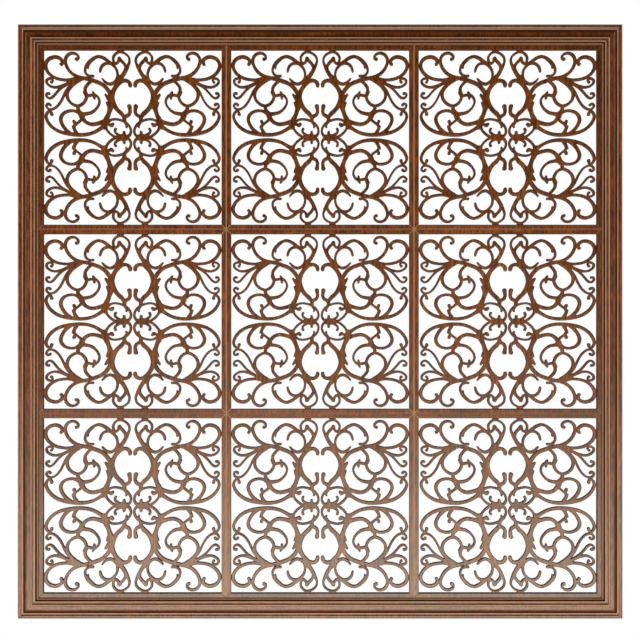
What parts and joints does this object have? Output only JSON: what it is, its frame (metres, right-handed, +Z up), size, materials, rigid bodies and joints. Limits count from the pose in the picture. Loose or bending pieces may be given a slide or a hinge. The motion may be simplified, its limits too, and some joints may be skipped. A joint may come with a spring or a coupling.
{
  "type": "carved panel",
  "caption": "Square openwork carved wooden wall panel: pierced scrollwork cells in a grid of mitred strips inside a moulded frame.",
  "frame": {"origin": "on the back face of the top moulding, half way along it and half way across its width, where the panel is fixed", "axes": "+Z up, +X along the top moulding to the viewer's right, -Y out of the carved front, +Y into the wall"},
  "size_m": [1.21, 0.03, 1.189],
  "materials": {
    "moulding_wood": "reddish brown stained hardwood, satin lacquer, worn paler on the edges",
    "strip_wood": "reddish brown stained hardwood, satin lacquer, worn paler on the edges",
    "scroll_wood": "reddish brown stained fretwork, satin lacquer, darker towards the sawn edges"
  },
  "bodies": {
    "root": {"moulding_top": "moulding_wood", "moulding_bottom": "moulding_wood", "moulding_left": "moulding_wood", "moulding_right": "moulding_wood", "strip_top_left_top": "strip_wood", "strip_top_left_right": "strip_wood", "strip_top_left_bottom": "strip_wood", "strip_top_left_left": "strip_wood", "strip_top_centre_top": "strip_wood", "strip_top_centre_right": "strip_wood", "strip_top_centre_bottom": "strip_wood", "strip_top_centre_left": "strip_wood", "strip_top_right_top": "strip_wood", "strip_top_right_right": "strip_wood", "strip_top_right_bottom": "strip_wood", "strip_top_right_left": "strip_wood", "strip_middle_left_top": "strip_wood", "strip_middle_left_right": "strip_wood", "strip_middle_left_bottom": "strip_wood", "strip_middle_left_left": "strip_wood", "strip_middle_centre_top": "strip_wood", "strip_middle_centre_right": "strip_wood", "strip_middle_centre_bottom": "strip_wood", "strip_middle_centre_left": "strip_wood", "strip_middle_right_top": "strip_wood", "strip_middle_right_right": "strip_wood", "strip_middle_right_bottom": "strip_wood", "strip_middle_right_left": "strip_wood", "strip_bottom_left_top": "strip_wood", "strip_bottom_left_right": "strip_wood", "strip_bottom_left_bottom": "strip_wood", "strip_bottom_left_left": "strip_wood", "strip_bottom_centre_top": "strip_wood", "strip_bottom_centre_right": "strip_wood", "strip_bottom_centre_bottom": "strip_wood", "strip_bottom_centre_left": "strip_wood", "strip_bottom_right_top": "strip_wood", "strip_bottom_right_right": "strip_wood", "strip_bottom_right_bottom": "strip_wood", "strip_bottom_right_left": "strip_wood", "scrolls_top_left_left": "scroll_wood", "scrolls_top_left_right": "scroll_wood", "scrolls_top_centre_left": "scroll_wood", "scrolls_top_centre_right": "scroll_wood", "scrolls_top_right_left": "scroll_wood", "scrolls_top_right_right": "scroll_wood", "scrolls_middle_left_left": "scroll_wood", "scrolls_middle_left_right": "scroll_wood", "scrolls_middle_centre_left": "scroll_wood", "scrolls_middle_centre_right": "scroll_wood", "scrolls_middle_right_left": "scroll_wood", "scrolls_middle_right_right": "scroll_wood", "scrolls_bottom_left_left": "scroll_wood", "scrolls_bottom_left_right": "scroll_wood", "scrolls_bottom_centre_left": "scroll_wood", "scrolls_bottom_centre_right": "scroll_wood", "scrolls_bottom_right_left": "scroll_wood", "scrolls_bottom_right_right": "scroll_wood"}
  },
  "joints": []
}
